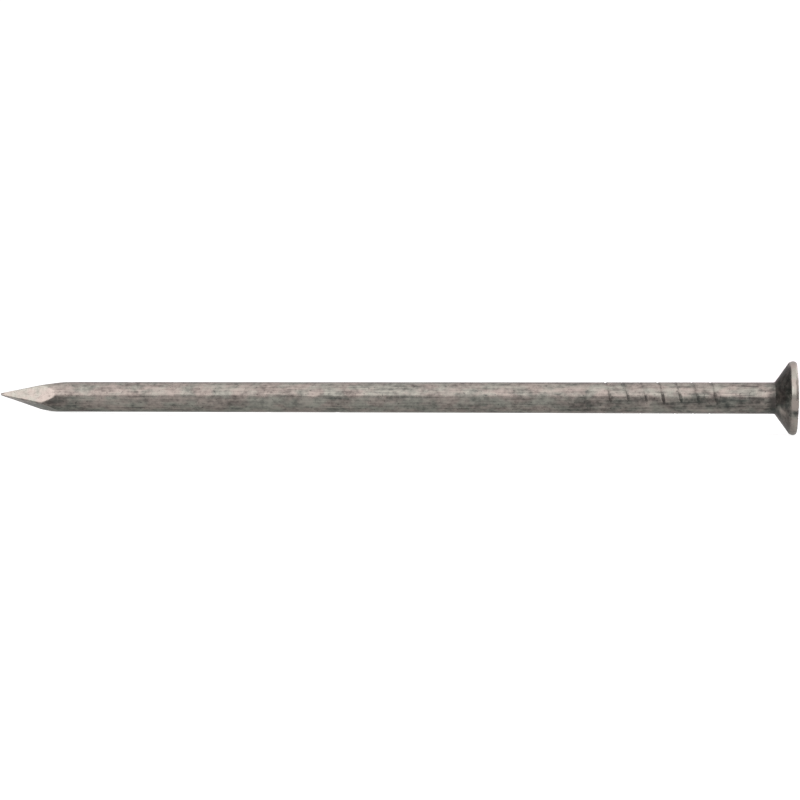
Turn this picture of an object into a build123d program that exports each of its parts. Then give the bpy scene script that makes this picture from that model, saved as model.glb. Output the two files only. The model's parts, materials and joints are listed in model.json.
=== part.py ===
from build123d import *
import math
import os

# A round wire nail, 3.8 x 100 mm, with a countersunk head. It is one length of drawn steel wire. One end is
# squeezed between dies into the head, which leaves grip marks on the wire below it, and the other end is
# pinched to a four-sided diamond point. The nail lies along X, with its head at +X and its point at -X. The
# origin is the centre of the head's face, the plane that ends flush with the timber.
#
# A clock position on the nail is an angle about X: 0 faces -Y, and 90 faces +Z.

# Driving dimensions, in millimetres and degrees.
LENGTH = 100.0  # from the head's face to the end of the point
WIRE_DIAMETER = 3.8
HEAD_DIAMETER = 8.9

# The head, from its face down: a short barrelled rim, then the cone that seats in the timber.
RIM_HEIGHT = 0.85
RIM_BULGE = 0.12  # how far the rim's middle stands out past its two edges
FACE_EDGE_RADIUS = 0.25
RIM_EDGE_RADIUS = 0.15  # where the rim turns into the cone
CONE_HEIGHT = 1.75
NECK_RADIUS = 0.3  # the fillet between the cone and the wire

# The chequered face: two sets of V grooves that cross at right angles and leave a pad at the centre.
CHEQUER_PITCH = 1.05
CHEQUER_COUNT = 8  # grooves in each direction
CHEQUER_DEPTH = 0.16
CHEQUER_TURN = 25.0  # how the pattern is turned about the nail's axis

# Grip marks: a row of short slanted V grooves on each side of the wire, one row from each half of the
# gripping die.
GRIP_COUNT = 7
GRIP_PITCH = 2.1
GRIP_START = 9.9  # from the head's face to the middle of the first mark
GRIP_DEPTH = 0.16  # at the middle of a mark, and it fades to nothing at both ends
GRIP_HALF_ARC = 62.0  # how far round the wire a mark runs to each side of its middle
GRIP_SLANT = 15.0  # how far a mark leans away from square across the wire
GRIP_FLANK = 55.0  # the angle between a groove's flank and its middle plane
GRIP_CLOCK = 40.0  # where the middles of one side's marks are, and the other side's are opposite

# The diamond point: four flat facets through an apex that stands a little off the wire's axis.
APEX_OFFSET = 0.34  # towards +Z
TIP_BLUNT = 0.6  # the length lost from the sharp apex when the point is pinched off
FRONT_FACET = (14.0, 12.2)  # each facet's clock position, and its angle to the wire's axis
TOP_FACET = (95.0, 9.7)
BACK_FACET = (194.0, 13.5)
BOTTOM_FACET = (292.0, 15.0)

# Worked out from the driving dimensions.
WIRE_RADIUS = WIRE_DIAMETER / 2
HEAD_RADIUS = HEAD_DIAMETER / 2
HEAD_HEIGHT = RIM_HEIGHT + CONE_HEIGHT


def outward(clock):
    """The unit direction out of the wire's axis at a clock position."""
    angle = math.radians(clock)
    return Vector(0, -math.cos(angle), math.sin(angle))


def headed_wire():
    """The wire with its head formed: one profile in the XY plane, turned about X."""
    rim_edge = HEAD_RADIUS - RIM_BULGE
    face_centre = (0, 0)
    face_edge = (0, rim_edge)
    rim_middle = (-RIM_HEIGHT / 2, HEAD_RADIUS)
    cone_top = (-RIM_HEIGHT, rim_edge)
    neck = (-HEAD_HEIGHT, WIRE_RADIUS)
    wire_end = (-LENGTH, WIRE_RADIUS)
    wire_end_centre = (-LENGTH, 0)
    outline = Curve() + [
        Line(face_centre, face_edge),
        ThreePointArc(face_edge, rim_middle, cone_top),
        Polyline(cone_top, neck, wire_end, wire_end_centre, face_centre),
    ]
    blank = revolve(make_face(outline), Axis.X)
    blank = fillet(ring_edge(blank, face_edge), FACE_EDGE_RADIUS)
    blank = fillet(ring_edge(blank, cone_top), RIM_EDGE_RADIUS)
    return fillet(ring_edge(blank, neck), NECK_RADIUS)


def ring_edge(solid, point):
    """The round edge of the turned blank that passes through a point of its profile."""
    x, radius = point
    return min(
        solid.edges().filter_by(GeomType.CIRCLE),
        key=lambda edge: abs(edge.arc_center.X - x) + abs(edge.radius - radius),
    )


def chequer_grooves():
    """V grooves across the head's face, in two directions."""
    half_width = CHEQUER_DEPTH
    section = Polyline((0, -half_width), (half_width, 0), (0, half_width), (-half_width, 0), close=True)
    bar = extrude(make_face(section), HEAD_RADIUS, both=True)
    across = (CHEQUER_COUNT - 1) / 2
    grooves = []
    for turn in (CHEQUER_TURN, CHEQUER_TURN + 90):
        for i in range(CHEQUER_COUNT):
            aside = Pos(0, (i - across) * CHEQUER_PITCH, 0)
            grooves.append(Rot(turn, 0, 0) * aside * bar)
    return grooves


def grip_mark(distance, clock):
    """One grip groove: a sharp-edged ring, slanted and shifted so that it bites on one side only."""
    # The shift puts the ring's inner edge GRIP_DEPTH under the surface at the middle of the mark, and on the
    # surface at GRIP_HALF_ARC to each side. Seen along the nail, the slant narrows the ring across the mark.
    half_arc = math.radians(GRIP_HALF_ARC)
    bottom = WIRE_RADIUS - GRIP_DEPTH
    end_out = WIRE_RADIUS * math.cos(half_arc)
    end_aside = WIRE_RADIUS * math.sin(half_arc) / math.cos(math.radians(GRIP_SLANT))
    shift = (end_out**2 + end_aside**2 - bottom**2) / (2 * (bottom - end_out))
    inner = bottom + shift
    height = 1.0
    half_width = height * math.tan(math.radians(GRIP_FLANK))
    section = Polyline((inner, 0), (inner + height, half_width), (inner + height, -half_width), close=True)
    ring = revolve(Plane.XZ * make_face(section), Axis.Z)
    middle = Vector(-distance, 0, 0) - outward(clock) * shift
    across = Plane(origin=middle, x_dir=outward(clock), z_dir=Vector(1, 0, 0))
    return across * Rot(GRIP_SLANT, 0, 0) * ring


def grip_marks():
    """Both rows of grip marks, opposite each other."""
    marks = []
    for clock in (GRIP_CLOCK, GRIP_CLOCK + 180):
        for i in range(GRIP_COUNT):
            marks.append(grip_mark(GRIP_START + i * GRIP_PITCH, clock))
    return marks


def point_waste():
    """What is cut away to leave the diamond point: a block on each facet, and one at the blunt end."""
    apex = Vector(-LENGTH - TIP_BLUNT, 0, APEX_OFFSET)
    reach = 8 * WIRE_DIAMETER
    on_plane = (Align.CENTER, Align.CENTER, Align.MIN)
    blocks = []
    for clock, angle in (FRONT_FACET, TOP_FACET, BACK_FACET, BOTTOM_FACET):
        slope = math.radians(angle)
        normal = outward(clock) * math.cos(slope) - Vector(1, 0, 0) * math.sin(slope)
        blocks.append(Plane(origin=apex, z_dir=normal) * Box(reach, reach, reach, align=on_plane))
    end = Plane(origin=(-LENGTH, 0, 0), z_dir=(-1, 0, 0))
    blocks.append(end * Box(reach, reach, reach, align=on_plane))
    return blocks


def make_nail():
    """The whole nail, one solid."""
    nail = headed_wire()
    for waste in chequer_grooves() + grip_marks() + point_waste():
        nail = nail - waste
    return nail.solid()


os.makedirs("parts", exist_ok=True)
export_step(make_nail(), "parts/nail.step")
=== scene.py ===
import json
import math
from types import SimpleNamespace

import bpy
import numpy as np
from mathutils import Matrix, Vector, noise


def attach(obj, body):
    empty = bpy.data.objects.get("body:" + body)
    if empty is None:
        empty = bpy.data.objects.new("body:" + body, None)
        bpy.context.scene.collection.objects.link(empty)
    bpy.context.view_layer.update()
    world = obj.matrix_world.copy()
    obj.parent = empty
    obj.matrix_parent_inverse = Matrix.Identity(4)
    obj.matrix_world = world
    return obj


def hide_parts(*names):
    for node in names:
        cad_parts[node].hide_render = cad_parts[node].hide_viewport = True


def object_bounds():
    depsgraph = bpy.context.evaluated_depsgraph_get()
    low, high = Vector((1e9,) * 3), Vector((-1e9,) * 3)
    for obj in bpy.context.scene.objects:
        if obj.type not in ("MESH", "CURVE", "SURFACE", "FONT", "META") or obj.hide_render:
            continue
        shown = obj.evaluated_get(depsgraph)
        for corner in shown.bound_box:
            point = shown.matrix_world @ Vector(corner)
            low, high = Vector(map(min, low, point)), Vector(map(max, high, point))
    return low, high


# A 3.8 x 100 mm round wire nail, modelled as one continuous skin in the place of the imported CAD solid: the
# chequered head, the slanted grip marks below it, the drawn wire and the pinched diamond point. Lengths are
# in millimetres unless a comment says metres, and the finished mesh is scaled to metres. A clock position is
# an angle about the nail's axis, in degrees, where 0 faces -Y and 90 faces +Z.

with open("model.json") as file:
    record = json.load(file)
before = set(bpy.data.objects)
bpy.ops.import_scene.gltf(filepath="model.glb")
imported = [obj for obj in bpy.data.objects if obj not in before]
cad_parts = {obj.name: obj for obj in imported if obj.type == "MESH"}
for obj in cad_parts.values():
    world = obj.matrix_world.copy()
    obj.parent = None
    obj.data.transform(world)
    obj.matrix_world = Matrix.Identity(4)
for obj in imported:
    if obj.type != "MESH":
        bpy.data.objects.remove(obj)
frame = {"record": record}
cad_low, cad_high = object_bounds()

MM = 0.001
LENGTH = (cad_high.x - cad_low.x) / MM
HEAD_RADIUS = (cad_high.z - cad_low.z) / 2 / MM
WIRE_RADIUS = next(m for m in frame["record"]["mounts"] if m["name"] == "shank")["dims"]["r_mm"]

# The head's profile, from its face down.
RIM_HEIGHT = 0.85
RIM_BULGE = 0.12
CONE_HEIGHT = 1.75
NECK_ROUNDING = 0.3
RIM_EDGE_ROUNDING = 0.15
FACE_EDGE_ROUNDING = 0.25
HEAD_HEIGHT = RIM_HEIGHT + CONE_HEIGHT

# The chequering on the head's face: V grooves in two directions.
CHEQUER_PITCH = 1.05
CHEQUER_DEPTH = 0.16
CHEQUER_TURN = 25.0

# The grip marks: a row of slanted V grooves on each side of the wire, which fade out at both ends.
GRIP_COUNT = 7
GRIP_PITCH = 2.1
GRIP_START = 9.9
GRIP_DEPTH = 0.16
GRIP_HALF_ARC = 62.0
GRIP_SLANT = 15.0
GRIP_FLANK = 55.0
GRIP_CLOCK = 40.0
GRIP_END_X = -GRIP_START - GRIP_COUNT * GRIP_PITCH  # one pitch past the last mark

# Around each grip mark: a raised lip, and metal crushed under the tooth.
LIP_HEIGHT = 0.22  # as a share of the mark's depth
LIP_WIDTH = 0.1
CRUSH_DEPTH = 0.2  # as a share of the mark's depth
CRUSH_WIDTH = 0.3

# The diamond point: its apex's height off the axis, and each facet's clock position and angle to the axis.
APEX_OFFSET = 0.34
TIP_BLUNT = 0.6
FACETS = ((14.0, 12.2), (95.0, 9.7), (194.0, 13.5), (292.0, 15.0))
POINT_LENGTH = 9.5
TIP_EDGE_ROUNDING = 0.014  # of the edges between the facets, at the tip
EDGE_ROUNDING_GROWTH = 0.02  # from the tip to 2 mm behind it

# The unevenness that the dies and handling leave: how far each kind stands out of the skin or sinks into it.
SEAM_HEIGHT = 0.045
SEAM_HALF_WIDTH = 3.5  # in degrees round the wire
OUT_OF_ROUND = 0.02
WAVE_HEIGHT = 0.009
DRAWING_LINE_HEIGHT = 0.003
DENT_DEPTH = 0.035
FACET_WAVE_HEIGHT = 0.012
RIM_WAVE_HEIGHT = 0.07
HEAD_WAVE_HEIGHT = 0.014

# Two spots, each at an X and a clock position: a bright spot on the cone and a dark spot on the rim.
CONE_BRIGHT_SPOT = (-1.85, -32.0)
CONE_BRIGHT_SPOT_SIZE = 0.42
RIM_DARK_SPOT = (-0.4, -23.0)
RIM_DARK_SPOT_SIZE = 0.55

STUDIO_TINT = (1, 0.935, 0.955)
COLUMNS = 128  # vertices round the wire; the head's crown has twice as many
CROWN_COLUMNS = 2 * COLUMNS
SEED = 11


def smooth(value, start, end):
    """0 up to start and 1 from end on, with a smooth rise between."""
    share = np.clip((value - start) / (end - start), 0, 1)
    return share * share * (3 - 2 * share)


def wrapped(degrees):
    """The same angle, from -180 to 180."""
    return (degrees + 180) % 360 - 180


def texture(points, scale, shift, octaves=3):
    """Smooth noise at each point, about -1 to 1. scale is the features per millimetre along X, Y and Z."""
    scaled = points.reshape(-1, 3) * np.array(scale) + shift
    values = [noise.fractal(Vector(p), 1.0, 2.0, octaves) for p in scaled]
    return np.array(values).reshape(points.shape[:-1])


def stacked(x, y, z):
    """Points from their X, Y and Z, whichever of these are the same for a whole row or column."""
    return np.stack(np.broadcast_arrays(x, y, z), axis=-1)


# ---- The outline: (x, radius) stations from the tip to the centre of the head's face


def rounded(corners, step):
    """Evenly spaced points along a polyline of ((x, radius), rounding) corners, its inner corners rounded."""
    arc_points = 13
    points = [np.array(corners[0][0])]
    for before, corner, after in zip(corners, corners[1:], corners[2:]):
        at, rounding = np.array(corner[0]), corner[1]
        into = at - np.array(before[0])
        out = np.array(after[0]) - at
        into /= np.linalg.norm(into)
        out /= np.linalg.norm(out)
        turn = math.atan2(into[0] * out[1] - into[1] * out[0], into @ out)
        start = at - into * rounding * math.tan(abs(turn) / 2)
        arm = math.copysign(rounding, turn) * np.array((into[1], -into[0]))
        for angle in np.linspace(0, turn, arc_points):
            spun = np.array((arm[0] * math.cos(angle) - arm[1] * math.sin(angle),
                             arm[0] * math.sin(angle) + arm[1] * math.cos(angle)))
            points.append(start - arm + spun)
    points.append(np.array(corners[-1][0]))
    points = np.array(points)
    along = np.concatenate(([0], np.cumsum(np.linalg.norm(np.diff(points, axis=0), axis=1))))
    even = np.linspace(0, along[-1], round(along[-1] / step) + 1)
    return np.stack([np.interp(even, along, points[:, k]) for k in (0, 1)], axis=1)


def stations(start, end, step):
    """Plain wire from start up to end, in even steps, without end itself."""
    x = np.linspace(start, end, round((end - start) / step), endpoint=False)
    return np.stack([x, np.full_like(x, WIRE_RADIUS)], axis=1)


def outline():
    """The whole outline, with close stations where the shape is fine."""
    tip_end = -LENGTH + 1
    point_end = -LENGTH + POINT_LENGTH
    grips_to_head = -GRIP_START + GRIP_PITCH
    neck_start = -HEAD_HEIGHT - 2 * NECK_ROUNDING
    rim_edge = HEAD_RADIUS - RIM_BULGE
    head = rounded([
        ((neck_start, WIRE_RADIUS), 0),
        ((-HEAD_HEIGHT, WIRE_RADIUS), NECK_ROUNDING),
        ((-RIM_HEIGHT, rim_edge), RIM_EDGE_ROUNDING),
        ((-RIM_HEIGHT / 2, rim_edge + 1.3 * RIM_BULGE), RIM_HEIGHT * 0.55),
        ((0, rim_edge), FACE_EDGE_ROUNDING),
        ((0, 0.05), 0),
    ], step=0.075)
    return np.concatenate([
        stations(-LENGTH, tip_end, step=0.05),
        stations(tip_end, point_end, step=0.1),
        stations(point_end, GRIP_END_X, step=0.4),
        stations(GRIP_END_X, grips_to_head, step=0.08),
        stations(grips_to_head, neck_start, step=0.12),
        head,
    ])


# ---- The shape: what the dies do to the outline, and the relief that stands out of it


def diamond_point(x, clocks):
    """The skin's distance from the point's own centre line, that line's height, and where the facets are,
    first all of them and then the bottom one alone."""
    from_apex = x + LENGTH + TIP_BLUNT
    centre = APEX_OFFSET * (1 - smooth(x, -LENGTH, -LENGTH + POINT_LENGTH))
    angles = np.radians(clocks)
    wire = np.sqrt(WIRE_RADIUS**2 - (centre * np.cos(angles))**2) - centre * np.sin(angles)
    faces_away = 0.1  # the cosine below which a facet cuts nothing
    out_of_reach = 10
    # A soft minimum of the distances to the wire and to every facet rounds the edges between them.
    edge = TIP_EDGE_ROUNDING + EDGE_ROUNDING_GROWTH * smooth(x, -LENGTH, -LENGTH + 2)
    weight = np.exp(-wire / edge)
    for clock, slope in FACETS:
        toward = np.cos(angles - math.radians(clock))
        reach = from_apex * math.tan(math.radians(slope))
        reach = reach + (APEX_OFFSET - centre) * math.sin(math.radians(clock))
        distance = reach / np.maximum(toward, faces_away)
        distance = np.where(toward > faces_away, distance, out_of_reach)
        facet = np.exp(-distance / edge)
        weight = weight + facet
    bottom_facet = facet / weight
    distance = -edge * np.log(weight)
    return distance, centre, smooth(wire - distance, 0.0, 0.06), bottom_facet


def grip_marks(x, clocks, rng):
    """The grip marks' relief, and how deep in a mark each place is, from 0 to 1."""
    relief = np.zeros(np.broadcast(x, clocks).shape)
    depth_share = np.zeros_like(relief)
    flank = math.tan(math.radians(GRIP_FLANK))
    for side in (0, 180):
        for i in range(GRIP_COUNT):
            depth = GRIP_DEPTH * rng.uniform(0.6, 1.05)
            middle = -GRIP_START - i * GRIP_PITCH + rng.uniform(-0.1, 0.1)
            half_arc = GRIP_HALF_ARC * rng.uniform(0.94, 1.08)
            slant = math.tan(math.radians(GRIP_SLANT + rng.uniform(-2, 2)))
            off = wrapped(clocks - GRIP_CLOCK - side + rng.uniform(-4, 4))
            bite = rng.uniform(0.3, 0.8)  # at the middle of the mark, as a share of its depth
            here = middle - slant * WIRE_RADIUS * np.sin(np.radians(np.clip(off, -90, 90)))
            share = np.clip(np.abs(off) / half_arc, 0, 1)
            # Each tooth bites most on both sides of its middle.
            fade = (1 - share**2) * (bite + 2.4 * share**2)
            away = np.abs(x - here)
            groove = np.clip(depth * fade - away / flank, 0, None)
            lip_at = depth * fade * flank + 0.7 * LIP_WIDTH
            lip = LIP_HEIGHT * depth * np.sqrt(fade) * np.exp(-((away - lip_at) / LIP_WIDTH)**2)
            crushed = fade * np.exp(-(away / CRUSH_WIDTH)**2)
            relief += lip - groove - CRUSH_DEPTH * depth * crushed
            depth_share = np.maximum(depth_share, np.clip(groove / (0.6 * GRIP_DEPTH), 0, 1))
            depth_share = np.maximum(depth_share, 0.6 * crushed)
    return relief, depth_share


def die_seams(x, clocks, points):
    """The two fine raised lines where the gripping die's halves met, broken and fading away from the head."""
    strength = smooth(x, GRIP_END_X, -GRIP_START)
    strength = strength * np.clip(0.6 + 0.8 * texture(points, (0.5, 0.5, 0.5), shift=40.0), 0, 1)
    off = np.abs(np.abs(wrapped(clocks - GRIP_CLOCK)) - 90)
    return SEAM_HEIGHT * strength * np.exp(-(off / SEAM_HALF_WIDTH)**2)


def unevenness(points, radius, on_facet, on_head):
    """The waves, drawing lines and dents all over the nail, and those of its facets, its rim and its head."""
    tame = np.minimum(1, radius / WIRE_RADIUS)  # fine shapes shrink with the point
    dents = texture(points, (0.9, 0.9, 0.9), shift=21.0, octaves=2)
    relief = WAVE_HEIGHT * tame * texture(points, (0.16, 0.5, 0.5), shift=3.0)
    relief += DRAWING_LINE_HEIGHT * tame * texture(points, (0.12, 4.0, 4.0), shift=9.0)
    relief -= DENT_DEPTH * tame * smooth(dents, 0.45, 0.9)
    relief += FACET_WAVE_HEIGHT * on_facet * texture(points, (3.0, 0.8, 0.8), shift=33.0)
    # The rim's waves are the same all along it, so X is left out of them.
    across = points * np.array((0, 1, 1))
    on_rim = on_head * smooth(radius, WIRE_RADIUS, HEAD_RADIUS)
    relief += RIM_WAVE_HEIGHT * on_rim * texture(across, (0, 0.22, 0.22), shift=52.0, octaves=2)
    relief += HEAD_WAVE_HEIGHT * on_head * texture(points, (0.4, 2.2, 2.2), shift=61.0)
    return relief


def chequering(points):
    """Each place's X once the head's face is chequered, and how deep in a groove it is, from 0 to 1."""
    turn = math.radians(CHEQUER_TURN)
    x, y, z = points[..., 0], points[..., 1], points[..., 2]
    worn = 0.82 + 0.25 * texture(points, (0.3, 0.3, 0.3), shift=70.0)
    cut = np.full(y.shape, -1.0)
    for along, across in ((math.cos(turn), math.sin(turn)), (-math.sin(turn), math.cos(turn))):
        place = y * along + z * across
        to_groove = np.abs((place / CHEQUER_PITCH) % 1 - 0.5) * CHEQUER_PITCH
        cut = np.maximum(cut, CHEQUER_DEPTH * worn - to_groove)
    bottom = np.where(x > -2 * CHEQUER_DEPTH, -cut, 0)
    level = np.where(cut > 0, np.minimum(x, bottom), x)
    return level, smooth(x - level, 0.0, 0.6 * CHEQUER_DEPTH)


# ---- The finish and the painted shade and highlight: masks that the steel's shader reads, mostly from 0 to 1


def away_from(spot, at):
    """How far each place is from a spot, over the skin."""
    spot_x, spot_clock = spot
    return np.hypot(at.x - spot_x, np.radians(wrapped(at.clocks - spot_clock)) * at.radius)


def painted_shade_and_spots(at):
    """Painted shade on the underside by the head and the point, on the top by the head and on the rim's lower
    half; also a darker tip and a dark spot on the rim.
    """
    below = -np.sin(np.radians(at.clocks))
    # Painted shade: the wire's lower half and the point's bottom facet take the underside's shade, the upper
    # half a little by the head.
    lower = smooth(below, -0.12, 0.2) * (1 - at.on_facet) + at.on_bottom_facet * at.on_facet
    underside = 0.75 * smooth(at.x, -36, -8) + 0.25 * smooth(at.x, -6, -HEAD_HEIGHT)
    underside = underside + 0.8 * (1 - smooth(at.x, -95, -87))
    topside = 0.3 * smooth(at.x, -10, -5)
    tip = 0.6 * (1 - smooth(at.x, -LENGTH, -LENGTH + 0.8))
    wire = lower * underside + (1 - lower) * topside + tip
    on_rim = at.on_head * smooth(at.radius, HEAD_RADIUS - 0.5, HEAD_RADIUS - 0.2)
    # Painted shade on the rim's lower half, and a dark spot on the rim.
    rim = 1.6 * np.exp(-(away_from(RIM_DARK_SPOT, at) / RIM_DARK_SPOT_SIZE)**2) + 0.3 * smooth(below, 0.4, 0.7)
    return at.on_wire * wire + on_rim * rim


def worn(at):
    """Where the steel is brighter: rubbed bright on raised places, the rim's edges and the face's pads, a
    bright spot on the cone, and a painted highlight on the rim's upper half.
    """
    raised = np.clip(at.relief / 0.03, 0, 1) * at.on_wire
    corner = at.on_head * smooth(at.radius, HEAD_RADIUS - 0.35, HEAD_RADIUS - 0.1) * (1 - at.neck)
    # Painted highlight: the rim's upper half is brighter still.
    corner = corner * (1 + 0.6 * smooth(np.sin(np.radians(at.clocks)), 0.0, 0.3))
    pads = smooth(at.level, -0.15, -0.05) * (1 - at.in_groove)
    bright_spot = at.on_head * np.exp(-(away_from(CONE_BRIGHT_SPOT, at) / CONE_BRIGHT_SPOT_SIZE)**2)
    return np.clip(raised * at.squeezed + np.maximum(corner, 0.7 * pads) + 1.6 * bright_spot, 0, 1.6)


def skin(outline_points, clocks, rng):
    """Vertices over the outline at the clock positions, with the nail's relief, and the masks of its finish
    and of its painted shade and highlight.
    """
    x, radius = outline_points[:, :1], outline_points[:, 1:]
    along = np.gradient(outline_points, axis=0)
    along /= np.linalg.norm(along, axis=1)[:, None]
    out_x, out_radius = -along[:, 1:], along[:, :1]
    angles = np.radians(clocks)
    round_y, round_z = -np.cos(angles), np.sin(angles)
    plain = stacked(x, radius * round_y, radius * round_z)

    at_point = x < -LENGTH + POINT_LENGTH
    distance, centre, on_facet, on_bottom_facet = diamond_point(x, clocks)
    radius = np.where(at_point, distance, radius)
    centre = np.where(at_point, centre, 0)
    on_facet = np.where(at_point, on_facet, 0)
    on_wire = 1 - smooth(x, -HEAD_HEIGHT - 0.2, -HEAD_HEIGHT + 0.2)
    on_head = 1 - on_wire

    grips, in_grip = grip_marks(x, clocks, rng)
    squeezed = smooth(x, GRIP_END_X, -GRIP_START - GRIP_PITCH * 5)
    gripped = grips + die_seams(x, clocks, plain)
    gripped -= OUT_OF_ROUND * squeezed * np.cos(2 * np.radians(clocks - GRIP_CLOCK))
    relief = on_wire * gripped + unevenness(plain, radius, on_facet, on_head)

    reach = radius + out_radius * relief
    points = stacked(x + out_x * relief, reach * round_y, centre + reach * round_z)
    points[..., 0], in_groove = chequering(points)

    # Painted shade under the head: the last of the wire by the neck and the cone below the rim are darkened.
    above_neck = smooth(x, -RIM_HEIGHT - 0.35, -RIM_HEIGHT + 0.1)
    neck = smooth(x, -HEAD_HEIGHT - 1.2, -HEAD_HEIGHT) * (1 - above_neck)
    at = SimpleNamespace(
        x=x, clocks=clocks, radius=radius, level=points[..., 0], relief=relief,
        squeezed=squeezed, neck=neck, in_groove=in_groove,
        on_wire=on_wire, on_head=on_head, on_facet=on_facet, on_bottom_facet=on_bottom_facet,
    )
    masks = {
        # Painted shade in the grooves of the grip marks and of the chequering.
        "recess_shade": np.clip(np.maximum(in_grip * on_wire, 0.8 * in_groove), 0, 1),
        "shade_and_spots": painted_shade_and_spots(at),
        "worn": worn(at),
        "neck": neck,
        "facet": on_facet,
        "head": on_head,
    }
    return points, {name: np.broadcast_to(mask, relief.shape) for name, mask in masks.items()}


# ---- The mesh


def ring(first, row, columns):
    """The vertices of one ring, in a tube of rings whose vertices start at first."""
    return first + row * columns + np.arange(columns)


def tube(first, rows, columns):
    """The faces between a tube's rings."""
    faces = []
    for row in range(rows - 1):
        near, far = ring(first, row, columns), ring(first, row + 1, columns)
        faces += np.stack([near, far, np.roll(far, -1), np.roll(near, -1)], axis=1).tolist()
    return faces


def join(coarse, fine):
    """The faces between a ring and one with twice as many vertices: a triangle and a quad at each column."""
    faces = []
    for i in range(len(coarse)):
        a, b = coarse[i], coarse[(i + 1) % len(coarse)]
        c, d, e = fine[2 * i], fine[2 * i + 1], fine[(2 * i + 2) % len(fine)]
        faces += [(a, c, d), (a, d, e, b)]
    return faces


def nail_mesh():
    """One closed mesh: a tube from the tip to the rim, a finer crown over the head's face, and two poles."""
    outline_points = outline()
    split = int(np.argmax(outline_points[:, 0] > -0.7 * RIM_HEIGHT))
    # The whole outline is shaped at once, so that both column counts meet on the same relief.
    clocks = np.arange(CROWN_COLUMNS) * 360 / CROWN_COLUMNS
    points, masks = skin(outline_points, clocks, np.random.default_rng(SEED))
    body, crown = points[:split, ::2], points[split:]
    tip = body[0].mean(axis=0)
    face_centre = np.array((crown[-1, :, 0].mean(), 0, 0))
    vertices = np.concatenate([body.reshape(-1, 3), crown.reshape(-1, 3), [tip, face_centre]])

    body_rows, crown_rows = len(body), len(crown)
    crown_first = body_rows * COLUMNS
    tip_index, face_index = len(vertices) - 2, len(vertices) - 1
    first_ring = ring(0, 0, COLUMNS)
    last_ring = ring(crown_first, crown_rows - 1, CROWN_COLUMNS)
    faces = tube(0, body_rows, COLUMNS) + tube(crown_first, crown_rows, CROWN_COLUMNS)
    faces += [(tip_index, a, b) for a, b in zip(first_ring, np.roll(first_ring, -1))]
    faces += [(face_index, b, a) for a, b in zip(last_ring, np.roll(last_ring, -1))]
    faces += join(ring(0, body_rows - 1, COLUMNS), ring(crown_first, 0, CROWN_COLUMNS))

    mesh = bpy.data.meshes.new("nail_skin")
    mesh.from_pydata((vertices * MM).tolist(), [], [tuple(map(int, f)) for f in faces])
    for name, m in masks.items():
        value = np.concatenate([m[:split, ::2].ravel(), m[split:].ravel(), [m[0].mean(), m[-1].mean()]])
        mesh.attributes.new(name, "FLOAT", "POINT").data.foreach_set("value", value.astype(np.float32))
    mesh.polygons.foreach_set("use_smooth", np.ones(len(mesh.polygons), bool))
    mesh.update()
    return mesh


# ---- The steel


class Nodes:
    """Short calls for building one material's node tree."""

    def __init__(self, tree):
        self.tree = tree
        self.tree.nodes.clear()

    def add(self, kind, **settings):
        """A node, with its settings and, by name, its inputs' values or links."""
        node = self.tree.nodes.new(kind)
        inputs = settings.pop("inputs", {})
        for name, value in settings.items():
            setattr(node, name, value)
        for name, value in inputs.items():
            self.feed(node.inputs[name], value)
        return node

    def feed(self, socket, value):
        """Links value to the socket if it's another node's output, or else sets it."""
        if isinstance(value, bpy.types.NodeSocket):
            self.tree.links.new(value, socket)
        else:
            socket.default_value = value

    def maths(self, operation, a, b=0.0, c=0.0):
        """The result of one operation on up to three values."""
        node = self.tree.nodes.new("ShaderNodeMath")
        node.operation = operation
        for socket, value in zip(node.inputs, (a, b, c)):
            self.feed(socket, value)
        return node.outputs[0]

    def scaled(self, value, by, plus):
        """value times by, plus plus."""
        return self.maths("MULTIPLY_ADD", value, by, plus)

    def noise(self, where, size, stretch, detail, roughness=0.5):
        """Noise from 0 to 1 with features of about size millimetres, drawn out along the wire by stretch."""
        per_metre = 1 / (size * MM)
        mapping = self.add("ShaderNodeMapping", inputs={
            "Vector": where,
            "Scale": (per_metre / stretch, per_metre, per_metre),
            "Location": (size * 7.0, size * 3.0, size * 5.0),
        })
        return self.add("ShaderNodeTexNoise", inputs={
            "Vector": mapping.outputs[0], "Scale": 1.0, "Detail": detail, "Roughness": roughness,
        }).outputs["Fac"]

    def between(self, value, low, high, out_low=0.0, out_high=1.0):
        """value mapped smoothly from low..high to out_low..out_high."""
        node = self.add("ShaderNodeMapRange", interpolation_type="SMOOTHSTEP")
        for socket, number in zip(node.inputs, (value, low, high, out_low, out_high)):
            self.feed(socket, number)
        return node.outputs[0]

    def mix(self, share, a, b):
        """Colour a where share is 0, and colour b where it is 1."""
        node = self.add("ShaderNodeMix", data_type="RGBA")
        factor, colour_a, colour_b = node.inputs[0], node.inputs[6], node.inputs[7]
        self.feed(factor, share)
        self.feed(colour_a, a)
        self.feed(colour_b, b)
        return node.outputs[2]


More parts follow.
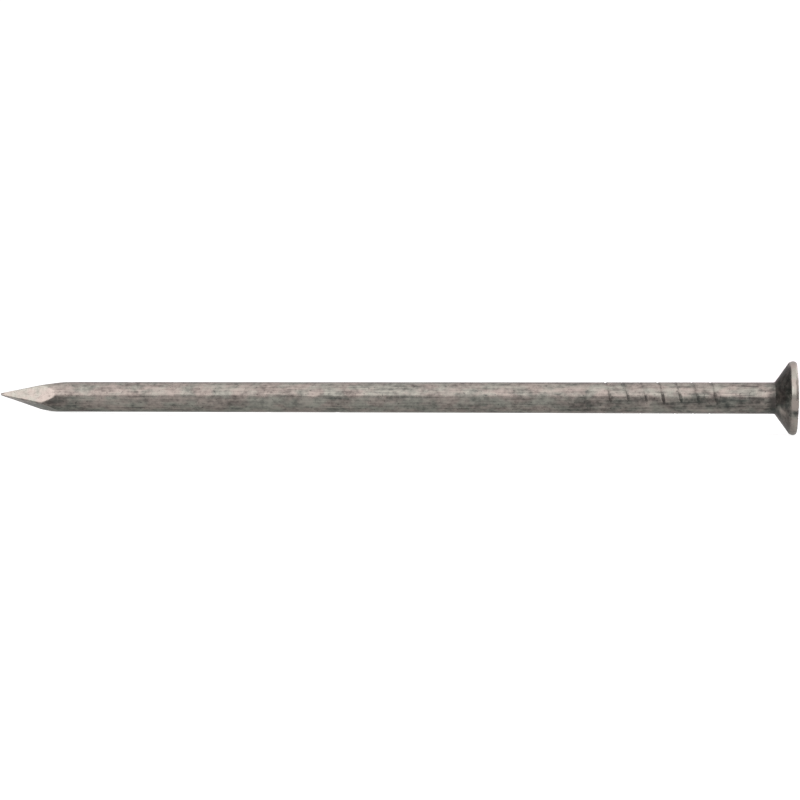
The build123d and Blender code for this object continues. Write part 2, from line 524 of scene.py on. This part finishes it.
def drawn_steel():
    """Dull drawn steel: mottled grey, streaked along the wire, with painted shade in the grooves, under the
    head and on the underside, brighter where it's worn, and a painted highlight on the rim's upper half.
    """
    material = bpy.data.materials.new("drawn_steel")
    material.use_nodes = True
    n = Nodes(material.node_tree)
    where = n.add("ShaderNodeTexCoord").outputs["Object"]
    mask = {name: n.add("ShaderNodeAttribute", attribute_name=name).outputs["Fac"]
            for name in ("recess_shade", "worn", "neck", "facet", "shade_and_spots", "head")}
    blotch = n.noise(where, size=2.2, stretch=1.6, detail=4.0)
    mottle = n.noise(where, size=0.55, stretch=1.3, detail=5.0, roughness=0.62)
    streak = n.noise(where, size=0.22, stretch=22.0, detail=3.0)
    speck = n.between(n.noise(where, size=0.28, stretch=1.0, detail=2.0), 0.62, 0.74)
    tint = n.noise(where, size=1.3, stretch=1.8, detail=2.0)
    drawn = n.scaled(mask["head"], by=-0.65, plus=0.9)  # the head has hardly any drawing lines

    shade = 0.62  # from 0, the darkest steel, to 1, the lightest
    for pattern, weight in ((blotch, 0.8), (mottle, 1.3), (streak, drawn)):
        shade = n.scaled(n.maths("SUBTRACT", pattern, 0.5), by=weight, plus=shade)
    for pattern, weight in (
        (speck, -0.35),
        # painted shade in the grooves
        (mask["recess_shade"], -0.34),
        # painted shade under the head
        (mask["neck"], -0.4),
        # painted shade on the underside and by the head, a darker tip and a dark spot on the rim
        (mask["shade_and_spots"], -0.46),
        # wear, and a painted highlight on the rim's upper half
        (mask["worn"], 0.3),
        (mask["facet"], 0.3),
    ):
        shade = n.scaled(pattern, by=weight, plus=shade)
    shade = n.between(shade, 0.0, 1.0)

    warm = n.between(tint, 0.35, 0.65)
    dark = n.mix(warm, (0.089, 0.1, 0.091, 1), (0.109, 0.1, 0.092, 1))
    light = n.mix(warm, (0.455, 0.46, 0.4, 1), (0.5, 0.45, 0.4, 1))
    colour = n.mix(shade, dark, light)

    rough = n.scaled(mottle, by=0.16, plus=0.15)
    rough = n.scaled(mask["recess_shade"], by=0.2, plus=rough)
    rough = n.scaled(mask["neck"], by=0.12, plus=rough)
    height = n.scaled(streak, by=0.5, plus=n.maths("MULTIPLY", mottle, 0.6))
    height = n.scaled(speck, by=-0.4, plus=height)
    bump = n.add("ShaderNodeBump", inputs={"Strength": 1.0, "Distance": 0.006 * MM, "Height": height})
    shader = n.add("ShaderNodeBsdfPrincipled", inputs={
        "Base Color": colour, "Metallic": 1.0, "Roughness": rough, "Normal": bump.outputs[0],
    })
    n.add("ShaderNodeOutputMaterial", inputs={"Surface": shader.outputs[0]})
    return material


# ---- The stage


def floor():
    """A pale floor that touches the head's rim and the wire by the point, as a table does under a nail."""
    touches_wire = -LENGTH + 7.2
    touches_rim = -RIM_HEIGHT / 2
    slope = (HEAD_RADIUS - WIRE_RADIUS) / (touches_rim - touches_wire)
    half = 1.2  # metres
    gap = 0.00003  # metres, so that the two surfaces don't share a line
    corners = [(x, y, -HEAD_RADIUS * MM - gap - slope * (x - touches_rim * MM)) for x, y in
               ((-half, -half), (half, -half), (half, half), (-half, half))]
    mesh = bpy.data.meshes.new("floor")
    mesh.from_pydata(corners, [], [(0, 1, 2, 3)])
    material = bpy.data.materials.new("pale_floor")
    material.use_nodes = True
    n = Nodes(material.node_tree)
    diffuse = n.add("ShaderNodeBsdfDiffuse", inputs={"Color": (0.35, 0.35, 0.35, 1)})
    # A translucent sheet lit from below: it leaves no shadow, and the camera sees it as plain white.
    camera_ray = n.add("ShaderNodeLightPath").outputs["Is Camera Ray"]
    glow = n.add("ShaderNodeEmission", inputs={"Strength": n.scaled(camera_ray, by=0.58, plus=0.28)})
    both = n.add("ShaderNodeAddShader")
    n.feed(both.inputs[0], diffuse.outputs[0])
    n.feed(both.inputs[1], glow.outputs[0])
    n.add("ShaderNodeOutputMaterial", inputs={"Surface": both.outputs[0]})
    mesh.materials.append(material)
    made = bpy.data.objects.new("floor", mesh)
    bpy.context.scene.collection.objects.link(made)


def sky():
    """A soft studio dome: brightest in front, dim past the point and dark behind it."""
    world = bpy.data.worlds.new("studio")
    world.use_nodes = True
    bpy.context.scene.world = world
    n = Nodes(world.node_tree)
    direction = n.add("ShaderNodeTexCoord").outputs["Generated"]
    axes = n.add("ShaderNodeSeparateXYZ", inputs={"Vector": direction}).outputs
    front_to_back = n.scaled(axes["Y"], by=-0.28, plus=1.02)
    overhead = n.between(axes["Z"], 0.15, 0.32, out_low=0.37, out_high=1.0)
    low_ends = n.between(axes["Z"], 0.05, 0.4, out_low=0.15, out_high=0.5)
    ends = n.between(axes["X"], -0.6, -0.92)
    aside = n.maths("ADD", n.maths("SUBTRACT", 1.0, ends), n.maths("MULTIPLY", ends, low_ends))
    behind = n.maths("MULTIPLY", n.between(axes["Y"], 0.1, 0.5), n.between(axes["X"], -0.3, -0.65))
    behind = n.scaled(behind, by=-0.8, plus=1.0)
    # Beyond the head, a bright bank of light stands behind the nail and nothing in front of it.
    past_head = n.between(axes["X"], 0.3, 0.6)
    bank = n.between(axes["Y"], -0.25, 0.25, out_low=-0.5, out_high=0.55)
    bank = n.scaled(past_head, by=bank, plus=1.0)
    back_wall = n.maths("MULTIPLY", n.between(axes["Y"], 0.3, 0.8), n.between(axes["X"], 0.45, 0.25))
    back_wall = n.scaled(back_wall, by=-0.22, plus=1.0)
    light = front_to_back
    for part in (overhead, aside, behind, bank, back_wall):
        light = n.maths("MULTIPLY", light, part)
    # The camera sees a plain white backdrop.
    camera_ray = n.add("ShaderNodeLightPath").outputs["Is Camera Ray"]
    light = n.maths("MAXIMUM", light, n.maths("MULTIPLY", camera_ray, 1.15))
    background = n.add("ShaderNodeBackground", inputs={"Color": (*STUDIO_TINT, 1), "Strength": light})
    n.add("ShaderNodeOutputWorld", inputs={"Surface": background.outputs[0]})


def softbox(name, place, target, width, height, power):
    """A soft rectangular light at a place, aimed at a target, in metres and watts."""
    data = bpy.data.lights.new(name, "AREA")
    data.color = STUDIO_TINT
    data.shape = "RECTANGLE"
    data.size, data.size_y = width, height
    data.energy = power
    light = bpy.data.objects.new(name, data)
    light.location = place
    light.rotation_euler = (Vector(target) - Vector(place)).to_track_quat("-Z", "Y").to_euler()
    bpy.context.scene.collection.objects.link(light)


def camera():
    """Almost level with the nail and square to its side, but turned so that the head is nearer."""
    lens, sensor = 80.0, 36.0
    azimuth, elevation = 8.0, 0.9
    distance = 2.212 * LENGTH * MM
    aim = Vector((-0.4829 * LENGTH * MM, 0, -0.32 * MM))
    a, e = math.radians(azimuth), math.radians(elevation)
    back = Vector((math.sin(a) * math.cos(e), -math.cos(a) * math.cos(e), math.sin(e)))
    data = bpy.data.cameras.new("camera")
    data.lens, data.sensor_width = lens, sensor
    data.clip_start, data.clip_end = 0.01, 10.0
    made = bpy.data.objects.new("camera", data)
    made.location = aim + back * distance
    made.rotation_euler = (-back).to_track_quat("-Z", "Y").to_euler()
    bpy.context.scene.collection.objects.link(made)
    bpy.context.scene.camera = made


nail = bpy.data.objects.new("steel_nail", nail_mesh())
bpy.context.scene.collection.objects.link(nail)
nail.data.materials.append(drawn_steel())
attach(nail, "root")
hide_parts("nail")

floor()
sky()
softbox("key", place=(-0.514, -0.375, 0.22), target=(-0.1, 0, 0), width=0.3, height=0.3, power=0.165)
camera()
bpy.context.scene.view_settings.view_transform = "Standard"
